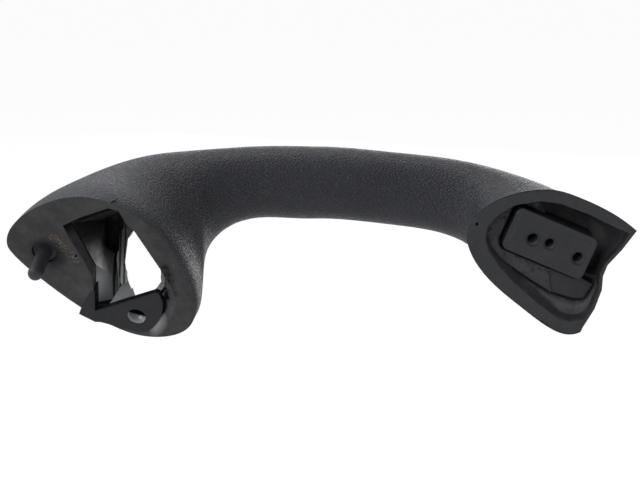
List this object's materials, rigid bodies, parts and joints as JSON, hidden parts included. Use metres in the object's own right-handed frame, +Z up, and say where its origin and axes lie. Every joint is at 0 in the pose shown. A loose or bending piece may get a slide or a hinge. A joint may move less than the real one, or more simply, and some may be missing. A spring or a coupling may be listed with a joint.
{
  "type": "door pull handle",
  "caption": "Arched vehicle door pull handle: grained soft foam skin moulded over a rigid carrier, with a screw boss at one foot and a lug and locating peg at the other.",
  "frame": {"origin": "mouth of the middle hole in the boss face, which is the middle of the boss at the right foot", "axes": "+X along the grip from the left foot to the right foot as seen from the door; +Y from the door into the cabin, so the boss face looks along -Y; +Z up"},
  "size_m": [0.2451, 0.0687, 0.0736],
  "materials": {
    "foam_skin": "dark blue-grey integral skin foam with a fine leather grain, matt cut edges",
    "carrier_plastic": "moulded dark blue-grey plastic, slightly satin"
  },
  "bodies": {
    "root": {"foam_cover": "foam_skin", "carrier": "carrier_plastic"}
  },
  "joints": []
}
